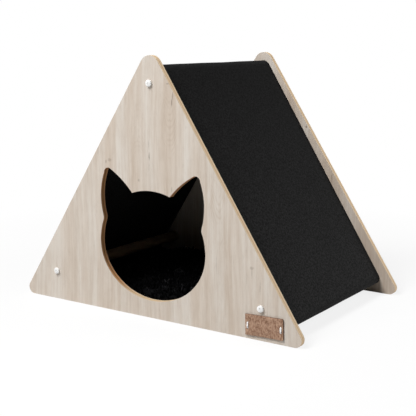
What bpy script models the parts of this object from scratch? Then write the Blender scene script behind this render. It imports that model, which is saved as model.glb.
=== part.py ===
"""Cat teepee: two triangular boards joined by three round rods, with a folded felt sleeve between them.

The front board has a doorway shaped like a cat's head. The felt sleeve is one closed tube: two sloping
walls and a floor, and its ends sit in shallow grooves cut in the boards. A loose plush cushion lies on the
felt floor. Each rod is held by a flat-headed screw at each end, which turns into a threaded insert.

Units are metres and +Z is up. X runs along the front board, and the front board faces -Y. The origin is on
the ground, halfway between the boards.
"""
import math

import bmesh
import bpy
from mathutils import Matrix, Vector

# Clearances
SEAT_GAP = 0.0003       # between pieces that touch or sit in one another
CUSHION_SIDE_GAP = 0.0037   # between the cushion and each lower rod
CUSHION_END_GAP = 0.003     # between the cushion and each board

# Boards: the triangle is given with sharp corners, which are then rounded
BASE = 0.520            # width along the ground
HEIGHT = 0.3994         # ground to the sharp top corner
BOARD = 0.009           # thickness
APEX_RADIUS = 0.017
FOOT_RADIUS = 0.0105
CLEAR_DEPTH = 0.307     # between the boards' inner faces
GROOVE_DEPTH = 0.003    # of the groove that holds the end of the sleeve

# Doorway, in the front board
DOOR_HALF_WIDTH = 0.096     # at the cheeks
DOOR_SILL = 0.0263      # ground to the lowest point of the chin
CHIN_DEPTH = 0.0802     # lowest point of the chin up to the cheeks
CHEEK_RADIUS = 0.091    # upper part of the cheek
PINCH_X = 0.0885        # where the cheek meets the ear
PINCH_RISE = 0.036      # from the cheeks up to there
PINCH_BLEND = 0.0055    # each way along the outline, rounded
EAR_OUTER_RADIUS = 0.100
EAR_SHOULDER_X = 0.0872     # where the outer side of the ear turns into its tip
EAR_SHOULDER_RISE = 0.1050
EAR_TIP_X = 0.0749      # where the tip turns into the inner side
EAR_TIP_RISE = 0.1114
EAR_TIP_RADIUS = 0.0080
EAR_INNER_RADIUS = 0.150
CROWN_X = 0.0342        # where the inner side of the ear meets the top of the head
CROWN_RISE = 0.0787
CROWN_RADIUS = 0.106    # top of the head

# Felt sleeve: its outer face is a triangle too, set in from the boards' edges
FELT = 0.004            # thickness
SLEEVE_DROP = 0.0158    # the boards' sharp top corner down to the sleeve's
SLEEVE_INSET = 0.0192   # the boards' sloping edge in to the sleeve's wall, at the floor's corners
SLEEVE_RISE = 0.0143    # ground to the floor's corners
SLEEVE_APEX_RADIUS = 0.0138
SLEEVE_CORNER_RADIUS = 0.0095
FLOOR_SAG = 0.008       # how far the floor hangs below its corners

# Rods
ROD_RADIUS = 0.009
ROD_CHAMFER = 0.0008
RIDGE_DROP = 0.0533     # the boards' sharp top corner down to the ridge rod's axis
LOW_ROD_RISE = 0.0458   # ground to the axes of the two lower rods
LOW_ROD_INSET = 0.0425  # the boards' sloping edge in to those axes, measured level

# Screws and inserts
SCREW_RADIUS = 0.0025
SCREW_LENGTH = 0.020    # under the head
HEAD_RADIUS = 0.0049
HEAD_HEIGHT = 0.0032
HEAD_RIM = 0.0023       # straight side of the head, under its low crown
SOCKET_FLATS = 0.0025
SOCKET_DEPTH = 0.0008
INSERT_RADIUS = 0.004   # over its coarse outer thread
INSERT_CORE_RADIUS = 0.0034
INSERT_LENGTH = 0.013
INSERT_RIDGES = 4

# Leather label, on the front board near its right foot
LABEL_WIDTH = 0.060
LABEL_HEIGHT = 0.030
LABEL_THICKNESS = 0.0015
LABEL_CORNER_RADIUS = 0.0012
LABEL_INSET = 0.0661    # the boards' sharp right corner in to the label's middle
LABEL_RISE = 0.0213     # ground to the label's middle
LABEL_TILT = math.radians(1.7)
STITCH_LENGTH = 0.0088  # the part of a thread loop that shows
STITCH_INSET = 0.0038   # the label's short edge in to the loop
STITCH_SHIFT = -0.0011  # of the loops from the label's middle line
THREAD_RADIUS = 0.0008
STITCH_DEPTH = 0.004    # how far the thread's ends go into the board

# Cushion
CUSHION_SEAM_RISE = 0.0070  # underside up to the seam round its edge
CUSHION_CROWN = 0.0150      # seam up to the highest point
CUSHION_EDGE_SHARE = 0.55   # of that height reached close to the edge
CUSHION_PULL = 0.006        # how far each side is drawn in between the corners
CUSHION_CORNER_CUT = 0.010  # how far the corners are rounded back

# Fineness of the curves
ARC_STEPS = 10
CHIN_STEPS = 22
ROUND_STEPS = 32
SMALL_STEPS = 20
CUSHION_CELLS_X = 26
CUSHION_CELLS_Y = 22

# Worked out from the sizes above
HALF_BASE = BASE / 2
EDGE_SLOPE = HEIGHT / HALF_BASE
INNER_FACE = CLEAR_DEPTH / 2
OUTER_FACE = INNER_FACE + BOARD
RIDGE_Z = HEIGHT - RIDGE_DROP
LOW_ROD_X = HALF_BASE - LOW_ROD_RISE / EDGE_SLOPE - LOW_ROD_INSET
ROD_AXES = {"ridge": (0.0, RIDGE_Z), "left": (-LOW_ROD_X, LOW_ROD_RISE), "right": (LOW_ROD_X, LOW_ROD_RISE)}
ROD_LENGTH = CLEAR_DEPTH - 2 * SEAT_GAP
HOLE_RADIUS = SCREW_RADIUS + SEAT_GAP
THREAD_HOLE_RADIUS = THREAD_RADIUS + SEAT_GAP
LABEL_CENTRE = (HALF_BASE - LABEL_INSET, LABEL_RISE)
LABEL_BACK = -(OUTER_FACE + SEAT_GAP)
LABEL_FRONT = LABEL_BACK - LABEL_THICKNESS

# The sleeve's section: its sharp corners, the centre of the round at its lower right one, and its floor's arc
SLEEVE_APEX_Z = HEIGHT - SLEEVE_DROP
SLEEVE_CORNER_X = HALF_BASE - SLEEVE_RISE / EDGE_SLOPE - SLEEVE_INSET
SLEEVE_LEAN = math.atan2(SLEEVE_APEX_Z - SLEEVE_RISE, SLEEVE_CORNER_X)
SLEEVE_ROUND_X = SLEEVE_CORNER_X - SLEEVE_CORNER_RADIUS / math.tan(SLEEVE_LEAN / 2)
SLEEVE_ROUND_Z = SLEEVE_RISE + SLEEVE_CORNER_RADIUS
FLOOR_DIP = 2 * math.atan(FLOOR_SAG / SLEEVE_ROUND_X)
FLOOR_RADIUS = SLEEVE_ROUND_X / math.sin(FLOOR_DIP) + SLEEVE_CORNER_RADIUS
FLOOR_CENTRE_Z = SLEEVE_ROUND_Z + SLEEVE_ROUND_X / math.tan(FLOOR_DIP)


def clear_scene():
    """Remove the objects that a new file starts with."""
    for thing in list(bpy.data.objects):
        bpy.data.objects.remove(thing, do_unlink=True)


def make_material(name, colour, roughness, metallic=0.0):
    """A Principled BSDF with one colour."""
    made = bpy.data.materials.new(name)
    made.use_nodes = True
    shader = made.node_tree.nodes["Principled BSDF"]
    shader.inputs["Base Color"].default_value = (*colour, 1.0)
    shader.inputs["Roughness"].default_value = roughness
    shader.inputs["Metallic"].default_value = metallic
    return made


def make_object(bm, name, surface=None, smooth_angle=None):
    """Turn a bmesh into an object, with its faces pointing out."""
    bmesh.ops.recalc_face_normals(bm, faces=bm.faces)
    mesh = bpy.data.meshes.new(name)
    bm.to_mesh(mesh)
    bm.free()
    if surface:
        mesh.materials.append(surface)
    if smooth_angle:
        mesh.shade_smooth()
        mesh.set_sharp_from_angle(angle=math.radians(smooth_angle))
    made = bpy.data.objects.new(name, mesh)
    bpy.context.scene.collection.objects.link(made)
    return made


def arc(centre, radius, start, end, steps=ARC_STEPS):
    """Points in the XZ plane round a centre, between two angles in radians."""
    points = []
    for step in range(steps + 1):
        angle = start + (end - start) * step / steps
        points.append(Vector((centre[0] + radius * math.cos(angle), centre[1] + radius * math.sin(angle))))
    return points


def bulge(first, last, radius, steps=ARC_STEPS):
    """Points of an arc from first to last, bulging to the right of the way from one to the other."""
    first = Vector(first)
    last = Vector(last)
    middle = (first + last) / 2
    along = last - first
    left = Vector((-along.y, along.x)).normalized()
    reach = math.sqrt(max(radius * radius - along.length_squared / 4, 0.0))
    centre = middle + left * reach
    start = math.atan2(first.y - centre.y, first.x - centre.x)
    end = math.atan2(last.y - centre.y, last.x - centre.x)
    if end < start:
        end += 2 * math.pi
    return arc(centre, radius, start, end, steps)


def board_outline():
    """The board's triangle with rounded corners, anticlockwise from its lower right corner."""
    lean = math.atan(EDGE_SLOPE)
    edge_normal = math.pi / 2 - lean
    foot_x = HALF_BASE - FOOT_RADIUS / math.tan(lean / 2)
    apex_z = HEIGHT - APEX_RADIUS / math.cos(lean)
    points = arc((foot_x, FOOT_RADIUS), FOOT_RADIUS, -math.pi / 2, edge_normal)
    points += arc((0, apex_z), APEX_RADIUS, edge_normal, math.pi - edge_normal)
    points += arc((-foot_x, FOOT_RADIUS), FOOT_RADIUS, math.pi - edge_normal, math.pi * 1.5)
    return points


def blended(before, after, reach):
    """Join two runs of points, rounding the corner between them over a short reach each way."""
    corner = before[-1]
    kept_before = [point for point in before if (point - corner).length > reach]
    kept_after = [point for point in after if (point - corner).length > reach]
    start = corner + (kept_before[-1] - corner).normalized() * reach
    end = corner + (kept_after[0] - corner).normalized() * reach
    rounded = []
    for step in range(ARC_STEPS // 2 + 1):
        share = step / (ARC_STEPS // 2)
        rounded.append(start.lerp(corner, share).lerp(corner.lerp(end, share), share))
    return kept_before + rounded + kept_after


def door_outline():
    """The doorway, a cat's head, anticlockwise from the bottom of its chin."""
    cheek_z = DOOR_SILL + CHIN_DEPTH
    chin = []
    for step in range(CHIN_STEPS + 1):
        angle = -math.pi / 2 + math.pi / 2 * step / CHIN_STEPS
        chin.append(Vector((DOOR_HALF_WIDTH * math.cos(angle), cheek_z + CHIN_DEPTH * math.sin(angle))))
    pinch = (PINCH_X, cheek_z + PINCH_RISE)
    shoulder = (EAR_SHOULDER_X, cheek_z + EAR_SHOULDER_RISE)
    tip = (EAR_TIP_X, cheek_z + EAR_TIP_RISE)
    crown = (CROWN_X, cheek_z + CROWN_RISE)
    cheek = bulge(chin[-1], pinch, CHEEK_RADIUS)
    ear = bulge(pinch, shoulder, EAR_OUTER_RADIUS, 2 * ARC_STEPS)
    side = blended(cheek, ear, PINCH_BLEND)
    side += bulge(shoulder, tip, EAR_TIP_RADIUS)[1:]
    side += bulge(tip, crown, EAR_INNER_RADIUS)[1:]
    half_angle = math.asin(CROWN_X / CROWN_RADIUS)
    crown_centre = (0, crown[1] - CROWN_RADIUS * math.cos(half_angle))
    top = arc(crown_centre, CROWN_RADIUS, math.pi / 2 - half_angle, math.pi / 2 + half_angle, 2 * ARC_STEPS)
    right = chin + side[1:]
    left = [Vector((-point.x, point.y)) for point in reversed(right)]
    return right + top[1:-1] + left[:-1]


def sleeve_outline(depth):
    """The sleeve's section at a depth below its outer face, anticlockwise from its lower right corner.

    The walls and the floor are offset by the depth, and so are the rounds between them.
    """
    wall_normal = math.pi / 2 - SLEEVE_LEAN
    corner_radius = SLEEVE_CORNER_RADIUS - depth
    points = arc((SLEEVE_ROUND_X, SLEEVE_ROUND_Z), corner_radius, FLOOR_DIP - math.pi / 2, wall_normal)
    apex_centre = (0, SLEEVE_APEX_Z - SLEEVE_APEX_RADIUS / math.cos(SLEEVE_LEAN))
    points += arc(apex_centre, SLEEVE_APEX_RADIUS - depth, wall_normal, math.pi - wall_normal)
    left_round = (-SLEEVE_ROUND_X, SLEEVE_ROUND_Z)
    points += arc(left_round, corner_radius, math.pi - wall_normal, math.pi * 1.5 - FLOOR_DIP)
    floor_ends = (-math.pi / 2 - FLOOR_DIP, FLOOR_DIP - math.pi / 2)
    floor = arc((0, FLOOR_CENTRE_Z), FLOOR_RADIUS - depth, *floor_ends, 2 * ARC_STEPS)
    return points + floor[1:-1]


def floor_height(x):
    """Height of the felt floor's upper face, at a distance from the middle."""
    radius = FLOOR_RADIUS - FELT
    return FLOOR_CENTRE_Z - math.sqrt(radius * radius - x * x)


def add_prism(bm, outline, low, high):
    """A solid with an outline in the XZ plane, from low to high along Y."""
    verts = [bm.verts.new((point[0], low, point[1])) for point in outline]
    face = bm.faces.new(verts)
    grown = bmesh.ops.extrude_face_region(bm, geom=[face])
    far = [item for item in grown["geom"] if isinstance(item, bmesh.types.BMVert)]
    bmesh.ops.translate(bm, vec=(0, high - low, 0), verts=far)


def make_prism(name, outline, low, high, surface=None):
    """One prism as an object."""
    bm = bmesh.new()
    add_prism(bm, outline, low, high)
    return make_object(bm, name, surface, smooth_angle=25)


def make_ring(name, outer, inner, low, high, surface=None):
    """A tube with any section, between two outlines that have as many points each."""
    bm = bmesh.new()
    loops = []
    for outline in (outer, inner):
        for y in (low, high):
            loops.append([bm.verts.new((point[0], y, point[1])) for point in outline])
    order = (loops[0], loops[1], loops[3], loops[2])
    for number, loop in enumerate(order):
        other = order[(number + 1) % len(order)]
        for place in range(len(loop)):
            following = (place + 1) % len(loop)
            bm.faces.new((loop[place], loop[following], other[following], other[place]))
    return make_object(bm, name, surface, smooth_angle=25)


def make_turned(name, profile, surface, steps, smooth_angle=30, closed=False):
    """Turn a profile of (radius, distance along Y) round the Y axis."""
    bm = bmesh.new()
    verts = [bm.verts.new((radius, y, 0)) for radius, y in profile]
    edges = [bm.edges.new(pair) for pair in zip(verts, verts[1:])]
    if closed:
        edges.append(bm.edges.new((verts[-1], verts[0])))
    bmesh.ops.spin(
        bm,
        geom=verts + edges,
        cent=(0, 0, 0),
        axis=(0, 1, 0),
        angle=2 * math.pi,
        steps=steps,
        use_merge=True,
        use_duplicate=False,
    )
    bmesh.ops.remove_doubles(bm, verts=bm.verts, dist=0.00001)
    return make_object(bm, name, surface, smooth_angle)


def round_outline(centre, radius, steps=SMALL_STEPS):
    """A full circle in the XZ plane."""
    return arc(centre, radius, 0, 2 * math.pi, steps)[:-1]


def cut(target, cutter):
    """Subtract a cutter, which stays in the scene as a wire guide."""
    cutter.hide_render = True
    cutter.display_type = "WIRE"
    step = target.modifiers.new(cutter.name, "BOOLEAN")
    step.operation = "DIFFERENCE"
    step.object = cutter


def make_board(name, inner_face, outer_face, surface):
    """A board with its three screw holes and the groove for the sleeve's end."""
    board = make_prism(name, board_outline(), inner_face, outer_face, surface)
    out = math.copysign(1.0, outer_face)
    for place, axis in ROD_AXES.items():
        hole = round_outline(axis, HOLE_RADIUS)
        ends = (inner_face - out * BOARD, outer_face + out * BOARD)
        cut(board, make_prism(name + "_" + place + "_hole_guide", hole, *ends))
    outer = sleeve_outline(-SEAT_GAP)
    inner = sleeve_outline(FELT + SEAT_GAP)
    ends = (inner_face - out * BOARD, inner_face + out * GROOVE_DEPTH)
    cut(board, make_ring(name + "_groove_guide", outer, inner, *ends))
    return board


def make_boards(surface):
    """Front board with its doorway and the label's stitch holes, and the plain rear board."""
    front = make_board("front_panel", -INNER_FACE, -OUTER_FACE, surface)
    past = BOARD
    cut(front, make_prism("doorway_guide", door_outline(), -INNER_FACE + past, -OUTER_FACE - past))
    bottom = -OUTER_FACE + STITCH_DEPTH + SEAT_GAP
    for number, centre in enumerate(stitch_holes()):
        hole = round_outline(centre, THREAD_HOLE_RADIUS, SMALL_STEPS // 2)
        cut(front, make_prism("stitch_hole_guide_" + str(number), hole, bottom, -OUTER_FACE - past))
    make_board("rear_panel", INNER_FACE, OUTER_FACE, surface)


def make_sleeve(surface):
    """The felt tube, whose ends reach down into the boards' grooves."""
    end = INNER_FACE + GROOVE_DEPTH - SEAT_GAP
    make_ring("felt_sleeve", sleeve_outline(0), sleeve_outline(FELT), -end, end, surface)


def make_rods(surface):
    """Three round rods, each bored at both ends for a threaded insert."""
    end = ROD_LENGTH / 2
    bore = INSERT_RADIUS + SEAT_GAP
    floor = end - INSERT_LENGTH - 2 * SEAT_GAP
    half = [(0, floor), (bore, floor), (bore, end)]
    half += [(ROD_RADIUS - ROD_CHAMFER, end), (ROD_RADIUS, end - ROD_CHAMFER)]
    profile = [(radius, -y) for radius, y in half] + list(reversed(half))
    for place, (x, z) in ROD_AXES.items():
        rod = make_turned(place + "_rod", profile, surface, ROUND_STEPS)
        rod.location = (x, 0, z)


def insert_profile():
    """Bore and coarse outer thread of an insert, from its mouth at 0 along +Y."""
    bore = SCREW_RADIUS + SEAT_GAP
    pitch = INSERT_LENGTH / INSERT_RIDGES
    profile = [(bore, INSERT_LENGTH), (bore, 0)]
    for ridge in range(INSERT_RIDGES):
        profile.append((INSERT_CORE_RADIUS, ridge * pitch))
        profile.append((INSERT_RADIUS, (ridge + 0.5) * pitch))
    profile.append((INSERT_CORE_RADIUS, INSERT_LENGTH))
    return profile


def screw_profile():
    """Shank and flat round head of a screw, with the head's underside at 0 and its tip along +Y."""
    tip_round = SCREW_RADIUS / 4
    profile = [(0, SCREW_LENGTH), (SCREW_RADIUS - tip_round, SCREW_LENGTH)]
    profile += [(SCREW_RADIUS, SCREW_LENGTH - tip_round), (SCREW_RADIUS, 0), (HEAD_RADIUS, 0), (HEAD_RADIUS, -HEAD_RIM)]
    crown = HEAD_HEIGHT - HEAD_RIM
    radius = (HEAD_RADIUS * HEAD_RADIUS + crown * crown) / (2 * crown)
    half_angle = math.asin(HEAD_RADIUS / radius)
    for step in range(1, ARC_STEPS // 2 + 1):
        angle = half_angle * (1 - step / (ARC_STEPS // 2))
        profile.append((radius * math.sin(angle), -HEAD_HEIGHT + radius * (1 - math.cos(angle))))
    return profile


def make_fasteners(screw_surface, insert_surface):
    """A screw and its insert at both ends of each rod."""
    rod_end = ROD_LENGTH / 2
    for place, (x, z) in ROD_AXES.items():
        for side, turn, sign in (("front", 0.0, -1.0), ("rear", math.pi, 1.0)):
            screw = make_turned(side + "_" + place + "_screw", screw_profile(), screw_surface, SMALL_STEPS)
            screw.location = (x, sign * (OUTER_FACE + SEAT_GAP), z)
            screw.rotation_euler.z = turn
            hexagon = round_outline((x, z), SOCKET_FLATS / math.sqrt(3), 6)
            top = OUTER_FACE + SEAT_GAP + HEAD_HEIGHT
            ends = (sign * (top - SOCKET_DEPTH), sign * (top + SOCKET_DEPTH))
            cut(screw, make_prism(side + "_" + place + "_socket_guide", hexagon, *ends))
            insert = make_turned(
                side + "_" + place + "_insert", insert_profile(), insert_surface, SMALL_STEPS, closed=True)
            insert.location = (x, sign * (rod_end - SEAT_GAP), z)
            insert.rotation_euler.z = turn


def label_point(x, z):
    """A point given from the label's middle, turned and moved to its place on the board."""
    turned = Matrix.Rotation(LABEL_TILT, 2) @ Vector((x, z))
    return turned + Vector(LABEL_CENTRE)


def stitch_lines():
    """Top and bottom of each thread loop, as points on the board."""
    lines = []
    for side in (-1, 1):
        x = side * (LABEL_WIDTH / 2 - STITCH_INSET)
        low = label_point(x, STITCH_SHIFT - STITCH_LENGTH / 2)
        high = label_point(x, STITCH_SHIFT + STITCH_LENGTH / 2)
        lines.append((low, high))
    return lines


def stitch_holes():
    """Middles of the four holes that the thread goes through."""
    return [end for line in stitch_lines() for end in line]


def make_label(leather, thread):
    """The leather label and the two thread loops that hold it."""
    across = LABEL_WIDTH / 2 - LABEL_CORNER_RADIUS
    up = LABEL_HEIGHT / 2 - LABEL_CORNER_RADIUS
    outline = []
    for number, corner in enumerate(((across, -up), (across, up), (-across, up), (-across, -up))):
        start = (number - 1) * math.pi / 2
        outline += arc(corner, LABEL_CORNER_RADIUS, start, start + math.pi / 2, ARC_STEPS // 2)
    placed = [label_point(point.x, point.y) for point in outline]
    label = make_prism("label", placed, LABEL_BACK, LABEL_FRONT, leather)
    for number, centre in enumerate(stitch_holes()):
        hole = round_outline(centre, THREAD_HOLE_RADIUS, SMALL_STEPS // 2)
        ends = (LABEL_BACK + LABEL_THICKNESS, LABEL_FRONT - LABEL_THICKNESS)
        cut(label, make_prism("label_hole_guide_" + str(number), hole, *ends))
    deep = -OUTER_FACE + STITCH_DEPTH
    proud = LABEL_FRONT - SEAT_GAP - THREAD_RADIUS
    for name, (low, high) in zip(("label_stitch_left", "label_stitch_right"), stitch_lines()):
        make_stitch(name, low, high, deep, proud, thread)


def make_stitch(name, low, high, deep, proud, surface):
    """A staple-shaped loop of thread: along the label between its holes, and back into the board."""
    bend = 2 * THREAD_RADIUS
    route = []
    for end, sign in ((low, 1), (high, -1)):
        along = (high - low).normalized() * sign
        leg = [Vector((end.x, deep, end.y)), Vector((end.x, proud + bend, end.y))]
        for step in range(1, 5):
            angle = math.pi / 2 * step / 4
            offset = along * bend * (1 - math.cos(angle))
            leg.append(Vector((end.x + offset.x, proud + bend * (1 - math.sin(angle)), end.y + offset.y)))
        route.append(leg)
    points = route[0] + list(reversed(route[1]))
    curve = bpy.data.curves.new(name, "CURVE")
    curve.dimensions = "3D"
    curve.bevel_depth = THREAD_RADIUS
    curve.bevel_resolution = 2
    curve.use_fill_caps = True
    spline = curve.splines.new("POLY")
    spline.points.add(len(points) - 1)
    for place, point in zip(spline.points, points):
        place.co = (*point, 1.0)
    curve.materials.append(surface)
    made = bpy.data.objects.new(name, curve)
    bpy.context.scene.collection.objects.link(made)


def cushion_share(value, spread):
    """How full the cushion is at a place from -1 to 1 across it: 0 at its edge and 1 well inside."""
    return max(1 - abs(value) ** spread, 0.0)


def cushion_points(across, along, half_width, half_depth):
    """The seam, top and underside of the cushion at a place given as -1 to 1 each way."""
    corner = CUSHION_CORNER_CUT * abs(across * along) ** 8
    width = half_width - CUSHION_PULL * (1 - along * along) - corner
    depth = half_depth - CUSHION_PULL * (1 - across * across) - corner
    x = across * width
    y = along * depth
    side = math.sqrt(cushion_share(across, 12) * cushion_share(along, 12))
    crown = cushion_share(across, 2) * cushion_share(along, 2)
    under = floor_height(x) + SEAT_GAP
    seam = under + CUSHION_SEAM_RISE
    top = seam + CUSHION_CROWN * (CUSHION_EDGE_SHARE * side + (1 - CUSHION_EDGE_SHARE) * crown)
    bottom = seam - CUSHION_SEAM_RISE * side
    return Vector((x, y, top)), Vector((x, y, bottom))


def make_cushion(surface):
    """The loose plush cushion, crowned above and following the felt floor below."""
    half_width = LOW_ROD_X - ROD_RADIUS - CUSHION_SIDE_GAP
    half_depth = INNER_FACE - CUSHION_END_GAP
    bm = bmesh.new()
    sheets = ([], [])
    for row in range(CUSHION_CELLS_Y + 1):
        along = math.sin(math.pi / 2 * (2 * row / CUSHION_CELLS_Y - 1))
        top_row = []
        bottom_row = []
        for column in range(CUSHION_CELLS_X + 1):
            across = math.sin(math.pi / 2 * (2 * column / CUSHION_CELLS_X - 1))
            top, bottom = cushion_points(across, along, half_width, half_depth)
            top_vert = bm.verts.new(top)
            on_seam = row in (0, CUSHION_CELLS_Y) or column in (0, CUSHION_CELLS_X)
            top_row.append(top_vert)
            bottom_row.append(top_vert if on_seam else bm.verts.new(bottom))
        sheets[0].append(top_row)
        sheets[1].append(bottom_row)
    for sheet in sheets:
        for first, second in zip(sheet, sheet[1:]):
            for place in range(CUSHION_CELLS_X):
                bm.faces.new((first[place], first[place + 1], second[place + 1], second[place]))
    make_object(bm, "cushion", surface, smooth_angle=60)


def main():
    clear_scene()
    board = make_material("pale_wood_board", (0.62, 0.54, 0.45), 0.55)
    rod = make_material("beech", (0.60, 0.45, 0.30), 0.55)
    felt = make_material("black_felt", (0.016, 0.016, 0.016), 0.95)
    plush = make_material("black_plush", (0.012, 0.012, 0.013), 1.0)
    white = make_material("white_enamel", (0.90, 0.90, 0.90), 0.35)
    zinc = make_material("zinc_alloy", (0.55, 0.55, 0.56), 0.40, 1.0)
    leather = make_material("brown_leather", (0.36, 0.22, 0.14), 0.60)
    thread = make_material("white_thread", (0.88, 0.88, 0.86), 0.80)
    make_boards(board)
    make_rods(rod)
    make_sleeve(felt)
    make_cushion(plush)
    make_fasteners(white, zinc)
    make_label(leather, thread)


main()
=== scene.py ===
# %% [markdown]
# # A triangular cat house in wood, felt and plush
# The house has two wood boards, three round rods between them, and one felt sleeve that is both walls
# and floor. A plush cushion lies inside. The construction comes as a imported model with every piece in
# its real place and size, in metres, with +Z up and the front board facing -Y. This script leaves that
# frame alone and gives it its looks: rounded board edges, wood, felt, pile, leather and thread.

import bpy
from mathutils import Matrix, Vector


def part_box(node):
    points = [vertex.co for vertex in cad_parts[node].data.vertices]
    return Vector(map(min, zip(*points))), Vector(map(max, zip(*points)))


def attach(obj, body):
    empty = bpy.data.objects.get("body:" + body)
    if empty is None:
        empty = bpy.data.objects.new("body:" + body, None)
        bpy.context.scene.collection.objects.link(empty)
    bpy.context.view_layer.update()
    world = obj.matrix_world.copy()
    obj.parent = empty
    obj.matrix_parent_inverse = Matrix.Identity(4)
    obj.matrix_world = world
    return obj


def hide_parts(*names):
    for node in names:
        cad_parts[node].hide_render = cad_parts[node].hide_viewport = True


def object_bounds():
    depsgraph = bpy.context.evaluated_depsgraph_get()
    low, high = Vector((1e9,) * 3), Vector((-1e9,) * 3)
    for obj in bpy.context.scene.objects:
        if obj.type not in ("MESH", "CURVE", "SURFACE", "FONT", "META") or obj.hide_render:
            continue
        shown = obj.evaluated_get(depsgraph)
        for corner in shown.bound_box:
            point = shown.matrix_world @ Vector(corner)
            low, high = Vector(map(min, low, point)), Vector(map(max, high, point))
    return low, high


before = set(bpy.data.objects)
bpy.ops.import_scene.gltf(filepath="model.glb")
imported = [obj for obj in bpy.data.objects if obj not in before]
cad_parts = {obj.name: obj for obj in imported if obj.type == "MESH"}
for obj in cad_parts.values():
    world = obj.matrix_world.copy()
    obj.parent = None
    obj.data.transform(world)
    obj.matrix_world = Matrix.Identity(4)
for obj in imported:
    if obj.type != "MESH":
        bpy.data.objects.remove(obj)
cad_low, cad_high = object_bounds()
print("size of the frame in mm:", [round(1000 * (high - low), 1) for low, high in zip(cad_low, cad_high)])

# %% Other imports
import math
import random

import bmesh
import bpy
from mathutils import Matrix, Vector, noise

# %% [markdown]
# ## Camera
# The photograph was taken with a longish lens from the front right, a little above the house. Both
# boards' edges point at the same two vanishing points, and those give the direction, the distance and
# the lens. An empty scene has no camera, so the script makes one and aims it with a track quaternion.

# %% Camera
LENS = 79.9                       # mm, on a sensor 36 mm wide
CAMERA_PLACE = Vector((0.8068, -1.2092, 0.4113))
CAMERA_AIM = Vector((0.0005, -0.0142, 0.1433))

camera_data = bpy.data.cameras.new("camera")
camera_data.lens = LENS
camera = bpy.data.objects.new("camera", camera_data)
camera.location = CAMERA_PLACE
camera.rotation_mode = "QUATERNION"
camera.rotation_quaternion = (CAMERA_AIM - CAMERA_PLACE).to_track_quat("-Z", "Y")
bpy.context.scene.collection.objects.link(camera)
bpy.context.scene.camera = camera
print("camera distance:", round((CAMERA_AIM - CAMERA_PLACE).length, 3), "m")

# %% [markdown]
# ## A small language for finishes
# A finish is a tree of shader nodes. Written out node by node it is long and hard to follow, so two
# small classes help. `Socket` wraps one output, and Python's operators on it add Math nodes, so that
# `1 - mask` means what it says. `Finish` starts a material, and its `node` method makes any other node
# from its type, its settings and what goes into its sockets. Patterns are read from Object coordinates,
# which are metres here, because each piece's object sits at the origin.

# %% Colours and sockets
def colour(red, green, blue):
    """A colour as a screen shows it, 0 to 255, in the linear values that shaders use."""
    shares = [value / 255 for value in (red, green, blue)]
    linear = [share / 12.92 if share < 0.04045 else ((share + 0.055) / 1.055) ** 2.4 for share in shares]
    return (*linear, 1.0)


class Socket:
    """One number that comes out of a node."""

    def __init__(self, finish, output):
        self.finish = finish
        self.output = output

    def math(self, operation, *values):
        return self.finish.node("ShaderNodeMath", {"operation": operation}, dict(enumerate(values)))

    def __add__(self, other):
        return self.math("ADD", self, other)

    def __radd__(self, other):
        return self.math("ADD", other, self)

    def __sub__(self, other):
        return self.math("SUBTRACT", self, other)

    def __rsub__(self, other):
        return self.math("SUBTRACT", other, self)

    def __mul__(self, other):
        return self.math("MULTIPLY", self, other)

    def __truediv__(self, other):
        return self.math("DIVIDE", self, other)

    def __pow__(self, other):
        return self.math("POWER", self, other)

    def __abs__(self):
        return self.math("ABSOLUTE", self)

    def at_most(self, other):
        return self.math("MINIMUM", self, other)

    def cosine(self):
        return self.math("COSINE", self)

    def rise(self, low, high):
        """0 up to low, 1 from high on, and a smooth way between them."""
        settings = {"interpolation_type": "SMOOTHSTEP"}
        inputs = {"Value": self, "From Min": low, "From Max": high}
        return self.finish.node("ShaderNodeMapRange", settings, inputs)


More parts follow.
